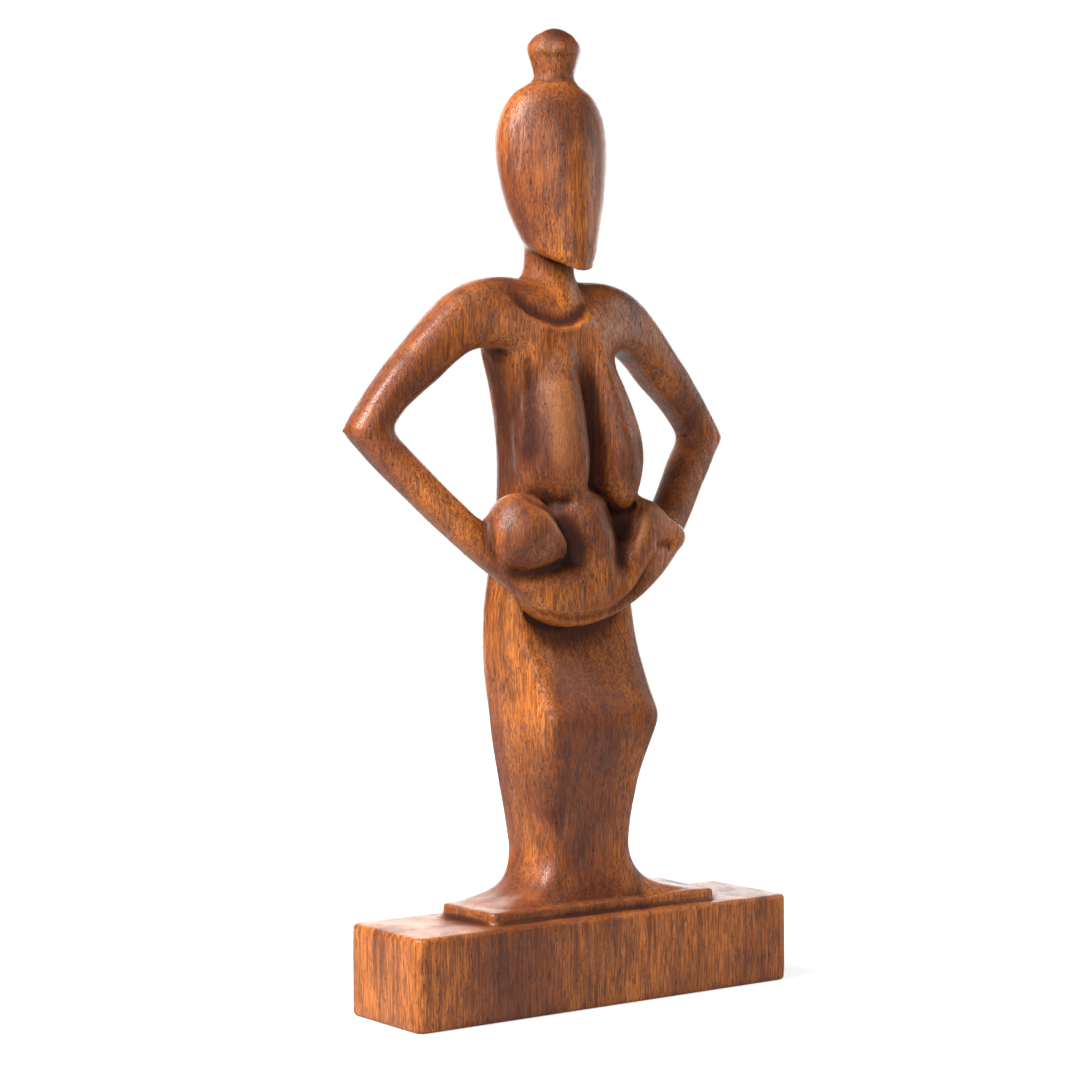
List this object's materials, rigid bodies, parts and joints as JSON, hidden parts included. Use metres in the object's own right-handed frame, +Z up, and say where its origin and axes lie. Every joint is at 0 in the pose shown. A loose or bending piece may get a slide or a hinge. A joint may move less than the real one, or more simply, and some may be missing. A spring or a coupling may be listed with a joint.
{
  "type": "wooden mother and child sculpture",
  "caption": "Tabletop hardwood carving of a slender faceless mother with bent arms holding her child before her, on a low block.",
  "frame": {"origin": "middle of the block's flat underside", "axes": "+Z up, the figure faces -Y, +X along the block's length toward the child's feet"},
  "size_m": [0.1483, 0.0407, 0.3],
  "materials": {
    "stained_wood": "stained orange-brown hardwood with a satin sheen, darker in the creases"
  },
  "bodies": {
    "root": {"mother_and_child": "stained_wood"}
  },
  "joints": []
}
